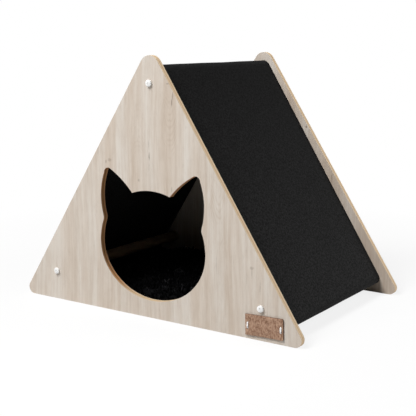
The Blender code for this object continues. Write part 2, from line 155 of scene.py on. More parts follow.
# %% Materials
class Finish:
    """A material with a Principled BSDF, built from the socket values given and from nodes."""

    def __init__(self, name, constants):
        self.material = bpy.data.materials.new(name)
        self.material.use_nodes = True
        self.tree = self.material.node_tree
        self.shader = self.tree.nodes["Principled BSDF"]
        for socket_name, value in constants.items():
            self.shader.inputs[socket_name].default_value = value
        self.place = self.node("ShaderNodeTexCoord", output="Object")

    def feed(self, socket, value):
        """Link a socket to a node's output, or set it to a plain value."""
        if isinstance(value, Socket):
            self.tree.links.new(value.output, socket)
        else:
            socket.default_value = value

    def node(self, kind, settings=None, inputs=None, output=0):
        """Any node: its type, its settings, and the values or links of its sockets."""
        made = self.tree.nodes.new(kind)
        for name, value in (settings or {}).items():
            setattr(made, name, value)
        for name, value in (inputs or {}).items():
            self.feed(made.inputs[name], value)
        return Socket(self, made.outputs[output])

    def axes(self, vector=None):
        """The x, y and z of a vector, the place by default, as three numbers."""
        inputs = {0: vector or self.place}
        return [self.node("ShaderNodeSeparateXYZ", {}, inputs, output) for output in range(3)]

    def vector(self, x, y, z):
        return self.node("ShaderNodeCombineXYZ", {}, {0: x, 1: y, 2: z})

    def stretched(self, scale, shift=(0, 0, 0), vector=None):
        """The place times a scale along each axis, so that a pattern is drawn out along the smallest."""
        return self.node("ShaderNodeMapping", {}, {0: vector or self.place, 1: shift, 3: scale})

    def cloud(self, scale, detail=2.0, shift=(0, 0, 0), vector=None, rough=0.5):
        """Noise around 0.5, with blobs one over the scale in size, in metres along each axis."""
        inputs = {"Vector": self.stretched(scale, shift, vector), "Scale": 1.0, "Detail": detail}
        inputs["Roughness"] = rough
        return self.node("ShaderNodeTexNoise", {}, inputs)

    def mix(self, factor, first, second):
        """A colour between two others."""
        settings = {"data_type": "RGBA", "clamp_factor": True}
        return self.node("ShaderNodeMix", settings, {0: factor, 6: first, 7: second}, output=2)

    def shade(self, tint, amount):
        """A colour made lighter or darker by a number around 1."""
        grey = self.vector(amount, amount, amount)
        settings = {"operation": "MULTIPLY"}
        return self.node("ShaderNodeVectorMath", settings, {0: tint, 1: grey})

    def set(self, socket_name, value):
        self.feed(self.shader.inputs[socket_name], value)

    def bump(self, height, distance, strength=1.0):
        """Relief too fine to model, as high in metres as the distance where the height is 1."""
        inputs = {"Height": height, "Distance": distance, "Strength": strength}
        self.set("Normal", self.node("ShaderNodeBump", {}, inputs, "Normal"))


print("finish tools ready")

# %% [markdown]
# ## Helpers for pieces
# The boards, sleeve, cushion and label start as copies of the frame's own solids, so that they keep
# their size. Such a mesh is loose triangles: the copy is merged, and flat neighbours are dissolved into
# single faces. `finish_piece` turns a bmesh into an object that rides on its body and stands for the
# solid it replaces.

# %% Piece helpers
MERGE = 0.00001
FLAT = math.radians(0.1)


def merged_copy(node):
    """The frame's solid as a clean bmesh."""
    bm = bmesh.new()
    bm.from_mesh(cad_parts[node].data)
    bmesh.ops.remove_doubles(bm, verts=bm.verts, dist=MERGE)
    bmesh.ops.dissolve_limit(bm, angle_limit=FLAT, verts=bm.verts, edges=bm.edges)
    return bm


def finish_piece(bm, name, body, finishes, replaces=(), smooth=35):
    """Write a bmesh to a piece of the object."""
    mesh = bpy.data.meshes.new(name)
    bm.to_mesh(mesh)
    bm.free()
    for finish in finishes:
        mesh.materials.append(finish.material)
    mesh.shade_smooth()
    mesh.set_sharp_from_angle(angle=math.radians(smooth))
    piece = bpy.data.objects.new(name, mesh)
    bpy.context.scene.collection.objects.link(piece)
    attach(piece, body)
    if replaces:
        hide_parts(*replaces)
    print(name + ":", len(mesh.polygons), "faces")
    return piece


def slices(bm, axis, low, high, step):
    """Cut a bmesh across one axis at even steps, so that it has points to bend at."""
    normal = Vector((0, 0, 0))
    normal[axis] = 1.0
    count = max(int(round((high - low) / step)), 1)
    for number in range(1, count):
        geometry = list(bm.verts) + list(bm.edges) + list(bm.faces)
        point = normal * (low + (high - low) * number / count)
        bmesh.ops.bisect_plane(bm, geom=geometry, dist=MERGE / 10, plane_co=point, plane_no=normal)


# %% [markdown]
# ## Veneer
# The boards are faced with a pale, slightly bleached wood whose grain runs up. From a step away it
# shows soft stripes, some cool and grey, some warm. Closer, it has fine lines a millimetre or two
# wide, a few arched growth rings where the log was cut across its curve, and small cracks and knots.
# Each of these is its own layer: noise drawn out along Z for stripes and lines, parabolas for the
# arches, and small ragged ellipses at chosen places for the cracks.

# %% Veneer layers
COOL_STRIPE = colour(218, 210, 200)
WARM_STRIPE = colour(214, 202, 189)
DEEP_STRIPE = colour(188, 170, 152)
DEEP_SHARE = 0.29                 # how much of the deep colour there is on average
CRACK = colour(128, 112, 97)
GRAIN_WANDER = 0.014              # metres that the grain wanders sideways


def wandering(finish):
    """The place with its x pushed to and fro, so that stripes aren't ruled straight."""
    wave = finish.cloud((6, 6, 3.0), detail=1.5)
    x, y, z = finish.axes()
    return finish.vector(x + (wave - 0.5) * GRAIN_WANDER * 2, y, z)


def arches(finish, middle, foot, half_width, rise, spacing):
    """Nested parabolas, as growth rings look where a log is cut off centre. A negative rise points down."""
    x, _, z = finish.axes()
    across = (x - middle) / half_width
    height = (z - foot) / rise - across * across
    wobble = finish.cloud((60, 60, 16), detail=3.0)
    spread = height + wobble * 0.9 * abs(spacing / rise) * 3
    rings = (spread * (abs(rise) / spacing * 2 * math.pi)).cosine() * 0.5 + 0.5
    inside = (1 - abs(across).rise(0.45, 1.1)) * height.rise(-0.1, 0.15) * (1 - height.rise(0.8, 2.2))
    patchy = finish.cloud((90, 90, 50), detail=1.0).rise(0.40, 0.62)
    return rings ** 2 * inside * patchy


def set_stripes(finish, vector, stripes):
    """Stripes at chosen places: x, half width and how deep, for each. A negative depth is a pale one."""
    x, _, _ = finish.axes(vector)
    total = 0.0
    for middle, half_width, depth in stripes:
        total = (1 - abs((x - middle) / half_width).rise(0.2, 1.0)) * depth + total
    return total


def dark_marks(finish, marks):
    """Cracks and knots: x, z, half width, half height and how dark, for each."""
    x, _, z = finish.axes()
    ragged = finish.cloud((700, 700, 200), detail=3.0) - 0.5
    total = 0.0
    for mark_x, mark_z, half_width, half_height, depth in marks:
        across = (x - mark_x) / half_width + ragged * 2.2
        along = (z - mark_z) / half_height + ragged * 0.8
        spot = (1 - (across * across + along * along).rise(0.0, 1.2)) * depth
        total = spot + total
    return total


# %% Veneer
def veneer(name, gloss, shift, marks, arch_list, stripe_list):
    finish = Finish(name, {"Specular IOR Level": gloss})
    place = wandering(finish)
    turned_shift = (shift[1], shift[2], shift[0])
    broad = finish.cloud((22, 22, 2.0), detail=1.5, shift=shift, vector=place)
    stripes = finish.cloud((75, 75, 3.2), detail=2.0, shift=turned_shift, vector=place)
    lines = finish.cloud((250, 250, 11), detail=3.0, rough=0.65, shift=shift, vector=place)
    fibres = finish.cloud((800, 800, 34), detail=2.0, rough=0.6, vector=place)
    figure = finish.cloud((130, 130, 40), detail=3.0, rough=0.6, shift=turned_shift, vector=place)
    pores = finish.cloud((1300, 1300, 110), detail=1.0, vector=place).rise(0.60, 0.74)
    # On the rear board the chosen stripes also carry painted light at the apex and painted shade towards the
    # lower right.
    chosen = set_stripes(finish, place, stripe_list) * finish.cloud((9, 9, 5), detail=1.0).rise(0.25, 0.6)
    warmth = (broad * 0.6 + stripes * 0.4 + chosen * 0.12).rise(0.38, 0.66)
    tint = finish.mix(warmth, COOL_STRIPE, WARM_STRIPE)
    deep = (stripes - 0.5) * 0.35 + (lines - 0.5) * 1.3 + (figure - 0.5) * 0.55 + chosen * 0.5 + DEEP_SHARE
    for arch in arch_list:
        deep = deep + arches(finish, *arch) * 0.24
    tint = finish.mix(deep, tint, DEEP_STRIPE)
    tint = finish.mix(dark_marks(finish, marks) + pores * 0.12, tint, CRACK)
    finish.set("Base Color", finish.shade(tint, 0.95 + fibres * 0.10))
    finish.set("Roughness", 0.50 + lines * 0.16)
    finish.bump(lines + fibres * 0.5 - pores * 0.5, 0.00002)
    return finish


FRONT_MARKS = [
    (0.0408, 0.329, 0.0014, 0.0070, 0.50),
    (0.0390, 0.320, 0.0012, 0.0070, 0.65),
    (0.0315, 0.346, 0.0028, 0.0014, 0.40),
    (-0.0025, 0.258, 0.0008, 0.0080, 0.35),
    (-0.0015, 0.241, 0.0013, 0.0070, 0.65),
    (-0.0022, 0.226, 0.0008, 0.0080, 0.30),
    (-0.076, 0.231, 0.0040, 0.0030, 0.35),
    (-0.098, 0.242, 0.0016, 0.0080, 0.25),
    (-0.083, 0.228, 0.0020, 0.0030, 0.35),
    (-0.021, 0.205, 0.0020, 0.0026, 0.40),
    (0.038, 0.1965, 0.0013, 0.0045, 0.35),
    (0.1725, 0.1005, 0.0034, 0.0028, 0.40),
    (0.1725, 0.0930, 0.0014, 0.0080, 0.22),
    (0.1640, 0.0850, 0.0008, 0.0120, 0.18),
    (0.186, 0.075, 0.0009, 0.0110, 0.30),
    (0.1145, 0.098, 0.0010, 0.0160, 0.20),
    (-0.0166, 0.034, 0.0014, 0.0014, 0.50),
]
FRONT_ARCHES = [
    (0.036, 0.236, 0.020, 0.060, 0.0085),
    (-0.022, 0.315, 0.018, -0.040, 0.0075),
    (0.118, 0.120, 0.024, 0.100, 0.0120),
]
FRONT_STRIPES = [
    (-0.187, 0.024, -0.65),
    (-0.151, 0.011, 0.30),
    (-0.108, 0.008, -0.40),
    (-0.060, 0.006, -0.30),
    (-0.036, 0.011, 0.20),
    (-0.011, 0.008, -0.10),
    (0.030, 0.008, 0.30),
    (0.060, 0.014, -0.25),
    (0.096, 0.010, 0.40),
    (0.132, 0.014, 0.40),
]
REAR_STRIPES_AND_PAINTED_LIGHT = [
    (-0.120, 0.010, 0.40),
    # Painted light: a pale stripe by the apex, where the rear board is lit more.
    (0.010, 0.022, -0.50),
    (0.055, 0.010, 0.30),
    (0.100, 0.012, 0.30),
    (0.045, 0.050, 0.50),
    # Painted shade: deep, warm stripes towards the lower right, for the shade there.
    (0.160, 0.060, 1.40),
    (0.225, 0.040, 0.90),
]
REAR_MARKS = [(0.0841, 0.2635, 0.0022, 0.0022, 0.75), (0.134, 0.182, 0.0013, 0.010, 0.60)]
REAR_ARCHES = [(0.02, 0.18, 0.030, 0.070, 0.0100), (-0.09, 0.09, 0.028, 0.080, 0.0110)]
front_veneer = veneer("front_veneer", 0.3, (0.0, 3.1, 1.7), FRONT_MARKS, FRONT_ARCHES, FRONT_STRIPES)
rear_veneer = veneer("rear_veneer", 0.1, (5.2, 0.4, 2.9), REAR_MARKS, REAR_ARCHES, REAR_STRIPES_AND_PAINTED_LIGHT)
print("veneers:", front_veneer.material.name, rear_veneer.material.name)

# %% [markdown]
# ## Plywood edge
# Where a board is cut, its plies show: tan wood on both sides of a darker core, with the thin pale
# veneer as a line at each face. The plies are told apart by the distance from the house's middle
# plane, which is the same for both boards, so one finish serves both.

# %% Plywood edge
PLY = colour(221, 196, 161)
PLY_CORE = colour(203, 172, 137)
PLY_SKIN = colour(199, 185, 167)
# Painted shade: the doorway's plies are given these browner, darker colours for the shade they lie in.
SHADED_PLY = colour(204, 152, 104)
SHADED_CORE = colour(154, 110, 70)
board_low, board_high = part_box("front_panel")
OUTER_FACE = abs(board_low.y)
INNER_FACE = abs(board_high.y)
BOARD = OUTER_FACE - INNER_FACE


def ply_layers(finish, tint, core_tint):
    """The plies' colours across a cut edge, with their grain, and set the edge's finish."""
    _, y, _ = finish.axes()
    waver = (finish.cloud((55, 55, 55), detail=2.0) - 0.5) * 0.07
    depth = (abs(y) - INNER_FACE) / BOARD + waver
    core = depth.rise(0.33, 0.42) * (1 - depth.rise(0.58, 0.67))
    skin = (1 - depth.rise(0.03, 0.08)) + depth.rise(0.92, 0.97)
    long_grain = finish.cloud((70, 1500, 70), detail=3.0)
    end_grain = finish.cloud((1300, 700, 1300), detail=2.0)
    tint = finish.mix(core, tint, core_tint)
    tint = finish.mix(skin * 0.8, tint, PLY_SKIN)
    grain = (long_grain * (1 - core) + end_grain * core) * 0.22
    finish.set("Base Color", finish.shade(tint, 0.89 + grain))
    finish.set("Roughness", 0.62 + end_grain * 0.12)
    finish.bump(grain - core * 0.4, 0.00012)
    return finish


ply_edge = ply_layers(Finish("plywood_edge", {"Specular IOR Level": 0.3}), PLY, PLY_CORE)
print("plies from", round(1000 * INNER_FACE, 1), "to", round(1000 * OUTER_FACE, 1), "mm off the middle")

# %% [markdown]
# The doorway's edge is painted browner than the outline's, as painted shade, but for its lowest stretch,
# which the light from above reaches. The same layers serve again, with darker shaded colours that fade to
# the pale ones near the foot.

# %% Doorway edge
SILL_PALE = 0.027                 # height under which the doorway's edge is pale
SILL_BROWN = 0.052                # and from which it carries the full painted shade


def doorway_finish():
    finish = Finish("doorway_edge", {"Specular IOR Level": 0.3})
    _, _, z = finish.axes()
    # Painted shade, fading out towards the sill.
    brown = z.rise(SILL_PALE, SILL_BROWN)
    return ply_layers(finish, finish.mix(brown, PLY, SHADED_PLY), finish.mix(brown, PLY_CORE, SHADED_CORE))


doorway_edge = doorway_finish()
print("doorway edge ready")

# %% [markdown]
# ## Boards
# The solids have knife-sharp edges, but a sanded board catches the light along a small round. A bevel
# of 0.5 mm on the merged copy makes it. Only edges between a broad face and a wall that goes right
# through the board are rounded, so the hidden groove for the felt stays as it is.

# %% Boards
EDGE_ROUND = 0.0005
DOORWAY_REACH = 0.100             # the walls inside this box are the doorway's
DOORWAY_FOOT = 0.020
DOORWAY_TOP = 0.225


def rounded_board(node, name, finish):
    bm = merged_copy(node)
    bm.normal_update()
    walls = set()
    for face in bm.faces:
        broad = abs(face.normal.y) > 0.9
        centre = face.calc_center_median()
        in_doorway = abs(centre.x) < DOORWAY_REACH and DOORWAY_FOOT < centre.z < DOORWAY_TOP
        face.material_index = 0 if broad else 2 if in_doorway else 1
        reach = [vert.co.y for vert in face.verts]
        if not broad and max(reach) - min(reach) > 0.9 * BOARD:
            walls.add(face)
    rims = []
    for edge in bm.edges:
        touching = [face in walls for face in edge.link_faces]
        if sorted(touching) == [False, True] and abs(edge.verts[0].co.y - edge.verts[1].co.y) < MERGE:
            rims.append(edge)
    bmesh.ops.bevel(
        bm, geom=rims, offset=EDGE_ROUND, offset_type="OFFSET", segments=2, profile=0.5,
        affect="EDGES", clamp_overlap=True, material=-1)
    finishes = [finish, ply_edge, doorway_edge]
    board = finish_piece(bm, name, "house", finishes, replaces=[node], smooth=20)
    for polygon in board.data.polygons:
        if abs(polygon.normal.y) > 0.99:
            polygon.use_smooth = False
    return board


rounded_board("front_panel", "front_board", front_veneer)
rounded_board("rear_panel", "rear_board", rear_veneer)

# %% [markdown]
# ## Rods
# The rods are turned beech, which is warm, plain and dotted with short dark flecks. They keep the
# frame's own solids and only get a finish, with the grain drawn out along Y, the way they lie.

# %% Beech
BEECH = colour(210, 182, 150)
BEECH_FLECK = colour(168, 134, 102)


def beech():
    finish = Finish("beech", {"Specular IOR Level": 0.3})
    grain = finish.cloud((260, 7, 260), detail=3.0)
    flecks = finish.cloud((900, 130, 900), detail=1.0).rise(0.60, 0.70)
    tint = finish.mix(grain.rise(0.35, 0.75) * 0.35 + flecks * 0.35, BEECH, BEECH_FLECK)
    finish.set("Base Color", tint)
    finish.set("Roughness", 0.52 + grain * 0.15)
    finish.bump(grain + flecks * 0.4, 0.00005)
    return finish


def dress(node, finish):
    """Give one of the frame's own solids a finish."""
    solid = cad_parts[node]
    solid.data.materials.clear()
    solid.data.materials.append(finish.material)


rod_finish = beech()
for place in ("ridge", "left", "right"):
    dress(place + "_rod", rod_finish)
print("rods dressed")

# %% [markdown]
# ## Felt
# The sleeve is 4 mm of pressed black felt. Felt has no weave: it is matt, with blotches a few
# millimetres wide where the fibres lie thicker, and a haze of single fibres that catch the light. The
# haze is a little sheen on the shader, and the blotches and fibres are two sizes of noise.

# %% Felt finish
FELT_DARK = colour(21, 21, 21)
FELT_LIGHT = colour(43, 43, 43)
PAINTED_BOUNCE_REACH = 0.37                 # the felt is painted paler towards the floor, as painted floor bounce, from this height down
PAINTED_BOUNCE_TOP_SHADE = 0.57                # its shade at that height
PAINTED_BOUNCE_GAIN = 0.86                 # and how much lighter the painted bounce makes it at the floor
MOTTLE = 0.24                     # how much the shade varies from place to place


def felt():
    constants = {"Roughness": 1.0, "Specular IOR Level": 0.02, "Sheen Weight": 0.02, "Sheen Roughness": 0.6}
    finish = Finish("black_felt", constants)
    blotches = finish.cloud((380, 380, 380), detail=3.0, rough=0.6)
    broad = finish.cloud((26, 26, 26), detail=2.0)
    fibres = finish.cloud((1100, 1100, 1100), detail=2.0)
    lightness = blotches.rise(0.36, 0.66) * 0.75 + fibres.rise(0.50, 0.72) * 0.45
    tint = finish.mix(lightness, FELT_DARK, FELT_LIGHT)
    _, _, z = finish.axes()
    # Painted light: the felt's colour gets lighter towards the floor, standing in for light bounced up from
    # it.
    painted_bounce = PAINTED_BOUNCE_TOP_SHADE + (1 - z / PAINTED_BOUNCE_REACH) * PAINTED_BOUNCE_GAIN
    finish.set("Base Color", finish.shade(tint, painted_bounce - MOTTLE / 2 + broad * MOTTLE))
    finish.bump(blotches + fibres * 0.5, 0.0002, 0.6)
    return finish


felt_finish = felt()
print("felt:", felt_finish.material.name)

# %% [markdown]
# ## Felt sleeve
# The sleeve is one sheet, closed under the floor. It starts as a copy of the solid, cut across at even
# steps. Then every point moves a fraction of a millimetre along its normal, by the same smooth noise
# inside and out, because hand-fitted felt is never quite flat. The ends stay still, as they sit in the
# boards' grooves. Last, a fine slit along the floor makes the closed tube the sheet that it is.

# %% Sleeve
FELT_STEP = 0.008
FELT_WAVE = 0.0004                # how far the felt strays from flat
WAVE_SIZE = 0.060
STILL_END = 0.006                 # next to each end, inside and beside the groove
EASE_END = 0.050                  # and from there on the waves are full
SEAM_SLIT = 0.0001                # so narrow that no light shows through it
SEAM_HEIGHT = 0.060               # the seam is below this, on the floor
sleeve_low, sleeve_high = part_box("felt_sleeve")


def smoothstep(value, low, high):
    share = min(max((value - low) / (high - low), 0.0), 1.0)
    return share * share * (3 - 2 * share)


def wave(point):
    """How far the felt strays at a point, along its outward normal."""
    still = smoothstep(sleeve_high.y - abs(point.y), STILL_END, EASE_END)
    return still * FELT_WAVE * noise.noise(Vector(point) / WAVE_SIZE)


def slit(bm):
    """Cut a slit along the floor's middle and close the two edges of the sheet there."""
    for side in (-1, 1):
        low_faces = [face for face in bm.faces if face.calc_center_median().z < SEAM_HEIGHT]
        geometry = set(low_faces)
        for face in low_faces:
            geometry.update(face.verts)
            geometry.update(face.edges)
        point = (side * SEAM_SLIT / 2, 0, 0)
        bmesh.ops.bisect_plane(bm, geom=list(geometry), dist=MERGE / 10, plane_co=point, plane_no=(1, 0, 0))
    inside = []
    for face in bm.faces:
        centre = face.calc_center_median()
        if abs(centre.x) < SEAM_SLIT / 2 and centre.z < SEAM_HEIGHT:
            inside.append(face)
    bmesh.ops.delete(bm, geom=inside, context="FACES")
    bmesh.ops.holes_fill(bm, edges=[edge for edge in bm.edges if edge.is_boundary], sides=0)


def felt_sleeve():
    bm = merged_copy("felt_sleeve")
    slices(bm, 1, sleeve_low.y, sleeve_high.y, FELT_STEP)
    slices(bm, 0, sleeve_low.x, sleeve_high.x, FELT_STEP)
    slit(bm)
    bm.normal_update()
    centre = Vector((0, 0, (sleeve_low.z + sleeve_high.z) / 3))
    for vert in bm.verts:
        level = Vector((vert.normal.x, 0, vert.normal.z))
        out = level if level.dot(vert.co - centre) > 0 else -level
        vert.co += out * wave(vert.co)
    return finish_piece(bm, "felt_walls_and_floor", "house", [felt_finish], replaces=["felt_sleeve"])


sleeve = felt_sleeve()

# %% [markdown]
# ## Seam stitches
# Under the floor the sheet's two edges meet and are sewn with a zigzag of black thread. It is a curve
# with a round bevel. Each point lies just under the felt, and the points where the needle went
# through are raised into it.

# %% Seam
SEAM_THREAD = 0.00045
SEAM_HALF_WIDTH = 0.0035
SEAM_PITCH = 0.0042
SEAM_DIP = 0.0006                 # how far a needle point sinks into the felt
SEAM_MARGIN = 0.010               # kept free at each end
TWIST_PITCH = 0.0012              # from one twist of a thread to the next


def thread_finish(name, tint, low_tint):
    finish = Finish(name, {"Roughness": 0.75, "Specular IOR Level": 0.3})
    x, y, z = finish.axes()
    twist = ((x + y + z * 1.4) * (2 * math.pi / TWIST_PITCH)).cosine() * 0.5 + 0.5
    fuzz = finish.cloud((3000, 3000, 3000), detail=2.0)
    finish.set("Base Color", finish.mix(twist * 0.5 + fuzz * 0.4, low_tint, tint))
    finish.bump(twist + fuzz * 0.4, 0.00004)
    return finish


black_thread = thread_finish("black_thread", colour(52, 52, 54), colour(22, 22, 23))


def seam_stitches():
    curve = bpy.data.curves.new("seam_stitches", "CURVE")
    curve.dimensions = "3D"
    curve.bevel_depth = SEAM_THREAD
    curve.bevel_resolution = 2
    curve.use_fill_caps = True
    run = 2 * (sleeve_high.y - SEAM_MARGIN)
    count = int(run / SEAM_PITCH)
    spline = curve.splines.new("POLY")
    spline.points.add(2 * count)
    under = sleeve_low.z - SEAM_THREAD
    for number in range(2 * count + 1):
        at_needle = number % 2 == 0
        side = (1 if number % 4 == 0 else -1) if at_needle else 0
        y = -run / 2 + number * SEAM_PITCH / 2
        z = under + (SEAM_DIP if at_needle else 0.0) + wave(Vector((0, y, sleeve_low.z))) * -1
        spline.points[number].co = (side * SEAM_HALF_WIDTH, y, z, 1.0)
    curve.materials.append(black_thread.material)
    made = bpy.data.objects.new("seam_stitches", curve)
    bpy.context.scene.collection.objects.link(made)
    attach(made, "house")
    print("seam:", 2 * count, "stitches")
    return made


stitches = seam_stitches()

# %% [markdown]
# The felt was cut from a flat sheet. It is as wide as the boards are apart with what sits in their
# grooves. Its length is the way round the section at the middle of its thickness, and that is the
# solid's volume shared out over the width and the thickness.

FELT = 0.004                      # thickness


def sheet_length(node, width):
    """How long a sheet was before it was closed to a tube."""
    bm = merged_copy(node)
    volume = bm.calc_volume()
    bm.free()
    return volume / (width * FELT)


felt_width = sleeve_high.y - sleeve_low.y
felt_length = sheet_length("felt_sleeve", felt_width)
print("felt sheet:", round(felt_width, 4), "x", round(felt_length, 4), "m")

# %% [markdown]
# ## Cushion
# The cushion is a thin pad in black plush. Its solid gives the size. A copy is remeshed, and cloth
# simulation with a little pressure fills it, so that the cover swells between its corners and creases
# at its edge. How far a point may move is capped, and nothing may go below the felt floor it lies on.

# %% Plush finish
PLUSH_DARK = colour(3, 3, 4)
PLUSH_HIGHLIGHT = colour(16, 16, 17)


def plush(name, dark, light):
    constants = {"Roughness": 0.7, "Specular IOR Level": 0.05}
    finish = Finish(name, constants)
    tufts = finish.cloud((260, 260, 260), detail=3.0)
    lay = finish.cloud((34, 60, 34), detail=2.0)
    # Painted highlights: sparse locks are made lighter, for the sheen that catches on pile.
    finish.set("Base Color", finish.mix(tufts.rise(0.35, 0.7) * lay.rise(0.54, 0.66), dark, light))
    finish.bump(tufts, 0.0010, 0.7)
    return finish


plush_finish = plush("black_plush", PLUSH_DARK, PLUSH_HIGHLIGHT)

# %% Cushion
CUSHION_VOXEL = 0.005
CUSHION_PRESSURE = 4.0
CUSHION_FRAMES = 16
CUSHION_SWELL = 0.005             # the most that a point may move
CUSHION_SHRINK = 0.0025           # taken off all round first, and twice as much off the top
cushion_low, cushion_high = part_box("cushion")


def shrunk_cushion():
    """The solid, pulled in along its normals to leave room for the filling and the pile."""
    bm = merged_copy("cushion")
    bm.normal_update()
    for vert in bm.verts:
        vert.co.x -= vert.normal.x * CUSHION_SHRINK
        vert.co.y -= vert.normal.y * CUSHION_SHRINK
        vert.co.z -= max(vert.normal.z, 0) * CUSHION_SHRINK * 2
    return bm


def evaluated_mesh(piece):
    """The piece's mesh with its modifiers worked out."""
    graph = bpy.context.evaluated_depsgraph_get()
    graph.update()
    return bpy.data.meshes.new_from_object(piece.evaluated_get(graph))


def fill_with_cloth(piece):
    """Remesh the piece evenly and let pressure fill its cover."""
    remesh = piece.modifiers.new("even", "REMESH")
    remesh.mode = "VOXEL"
    remesh.voxel_size = CUSHION_VOXEL
    even = evaluated_mesh(piece)
    piece.modifiers.clear()
    piece.data = even
    start = [vert.co.copy() for vert in even.vertices]
    cloth = piece.modifiers.new("cloth", "CLOTH")
    cloth.settings.use_pressure = True
    cloth.settings.uniform_pressure_force = CUSHION_PRESSURE
    cloth.settings.effector_weights.gravity = 0.0
    cloth.settings.quality = 5
    for step in range(1, CUSHION_FRAMES + 1):
        bpy.context.scene.frame_set(step)
    filled = evaluated_mesh(piece)
    bpy.context.scene.frame_set(1)
    piece.modifiers.clear()
    piece.data = filled
    middle = (cushion_low.z + cushion_high.z) / 2
    for vert, first in zip(piece.data.vertices, start):
        moved = vert.co - first
        if moved.length > CUSHION_SWELL:
            moved *= CUSHION_SWELL / moved.length
        if first.z < middle:
            moved.z = max(moved.z, 0.0)
        vert.co = first + moved


def cushion():
    piece = finish_piece(shrunk_cushion(), "plush_cushion", "cushion", [plush_finish], smooth=180)
    fill_with_cloth(piece)
    piece.data.shade_smooth()
    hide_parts("cushion")
    subdivision = piece.modifiers.new("smooth", "SUBSURF")
    subdivision.levels = 1
    subdivision.render_levels = 1
    print("cushion:", len(piece.data.vertices), "points")
    return piece


cushion_piece = cushion()

# %% [markdown]
# ## Pile
# Long plush pile stands up in little locks that lean this way and that. Each lock is a bent, tapering
# spike: a small ring, extruded three times, each time narrower and turned a little. A few thousand
# copies are set over the cushion's top and sides, leaning along a slow noise, as stroked fur does.

# %% Pile
LOCK_COUNT = 4600
LOCK_SIDES = 5
LOCK_STEPS = 3
LOCK_RADIUS = 0.0016
LOCK_LENGTH = 0.0100
LOCK_BEND = math.radians(22)      # between one step and the next
LOCK_TAPER = 0.68                 # and the share of the width that is left
LOCK_SIZES = (0.65, 1.15)
LOCK_SINK = 0.0006                # how far a lock's foot sits in the cover
LEAN_SIZE = 0.035                 # over about this length the pile leans one way
LEAN = 0.9
PILE_SEED = 7
STEEPEST = -0.2                   # faces whose normals point lower than this have no pile
# The pile's painted highlights are this lighter grey.
pile_finish = plush("black_pile", PLUSH_DARK, colour(64, 64, 66))


def lock_mesh(bend):
    """One lock of pile, standing on the origin along +Z."""
    bm = bmesh.new()
    bmesh.ops.create_circle(bm, cap_ends=True, segments=LOCK_SIDES, radius=LOCK_RADIUS)
    top = bm.faces[:]
    for step in range(LOCK_STEPS):
        grown = bmesh.ops.extrude_face_region(bm, geom=top)
        top = [item for item in grown["geom"] if isinstance(item, bmesh.types.BMFace)]
        verts = [item for item in grown["geom"] if isinstance(item, bmesh.types.BMVert)]
        centre = sum((vert.co for vert in verts), Vector()) / len(verts)
        to_centre = Matrix.Translation(-centre)
        bmesh.ops.scale(bm, vec=(LOCK_TAPER, LOCK_TAPER, LOCK_TAPER), space=to_centre, verts=verts)
        turn = Matrix.Rotation(bend, 3, "X")
        bmesh.ops.rotate(bm, cent=centre, matrix=turn, verts=verts)
        heading = Matrix.Rotation(bend * (step + 0.5), 3, "X") @ Vector((0, 0, LOCK_LENGTH / LOCK_STEPS))
        bmesh.ops.translate(bm, vec=heading, verts=verts)
    bmesh.ops.recalc_face_normals(bm, faces=bm.faces)
    mesh = bpy.data.meshes.new("lock")
    bm.to_mesh(mesh)
    bm.free()
    return mesh


def scattered_points(piece, count, chance):
    """Places and normals spread evenly over the faces of a piece that look up or out."""
    faces = [face for face in piece.data.polygons if face.normal.z > STEEPEST]
    areas = [face.area for face in faces]
    for face in chance.choices(faces, weights=areas, k=count):
        corners = [piece.data.vertices[index].co for index in face.vertices]
        shares = [chance.random() for _ in corners]
        total = sum(shares)
        point = sum((corner * share for corner, share in zip(corners, shares)), Vector()) / total
        yield point, face.normal.copy()


def pile(piece):
    noise.seed_set(PILE_SEED)     # without it, noise vectors start from the clock
    chance = random.Random(PILE_SEED)
    locks = [lock_mesh(LOCK_BEND * share) for share in (0.5, 1.0, 1.5)]
    bm = bmesh.new()
    for point, normal in scattered_points(piece, LOCK_COUNT, chance):
        lean = noise.noise_vector(point / LEAN_SIZE)
        up = (normal + Vector((lean.x, lean.y, 0)) * LEAN + Vector((0, 0, 0.5))).normalized()
        turn = up.to_track_quat("Z", "Y").to_matrix().to_4x4()
        spin = Matrix.Rotation(chance.uniform(0, 2 * math.pi), 4, "Z")
        size = chance.uniform(*LOCK_SIZES)
        matrix = Matrix.Translation(point - normal * LOCK_SINK) @ turn @ spin @ Matrix.Scale(size, 4)
        lock = chance.choice(locks)
        lock.transform(matrix)
        bm.from_mesh(lock)
        lock.transform(matrix.inverted())
    made = finish_piece(bm, "cushion_pile", "cushion", [pile_finish], smooth=180)
    for lock in locks:
        bpy.data.meshes.remove(lock)
    return made


pile(cushion_piece)

# %% [markdown]
# ## Screws and inserts
# The screw heads are enamelled white, with a fine speckle in the gloss. The inserts are hidden in the
# rods' ends and are plain zinc alloy. Both keep their solids.

# %% Fastener finishes
ENAMEL = colour(248, 248, 247)
ENAMEL_DULL = colour(238, 238, 236)


def white_enamel():
    finish = Finish("white_enamel", {"Specular IOR Level": 0.5, "Coat Roughness": 0.15})
    speckle = finish.cloud((1400, 1400, 1400), detail=2.0)
    finish.set("Base Color", finish.mix(speckle.rise(0.35, 0.75), ENAMEL, ENAMEL_DULL))
    finish.set("Roughness", 0.28 + speckle * 0.2)
    finish.set("Coat Weight", speckle * 0.4)
    finish.bump(speckle, 0.00003)
    return finish


def zinc_alloy():
    finish = Finish("zinc_alloy", {"Metallic": 1.0})
    scratches = finish.cloud((2500, 300, 2500), detail=3.0)
    finish.set("Base Color", finish.mix(scratches, colour(176, 176, 178), colour(205, 205, 204)))
    finish.set("Roughness", 0.30 + scratches * 0.25)
    finish.bump(scratches, 0.00002)
    return finish


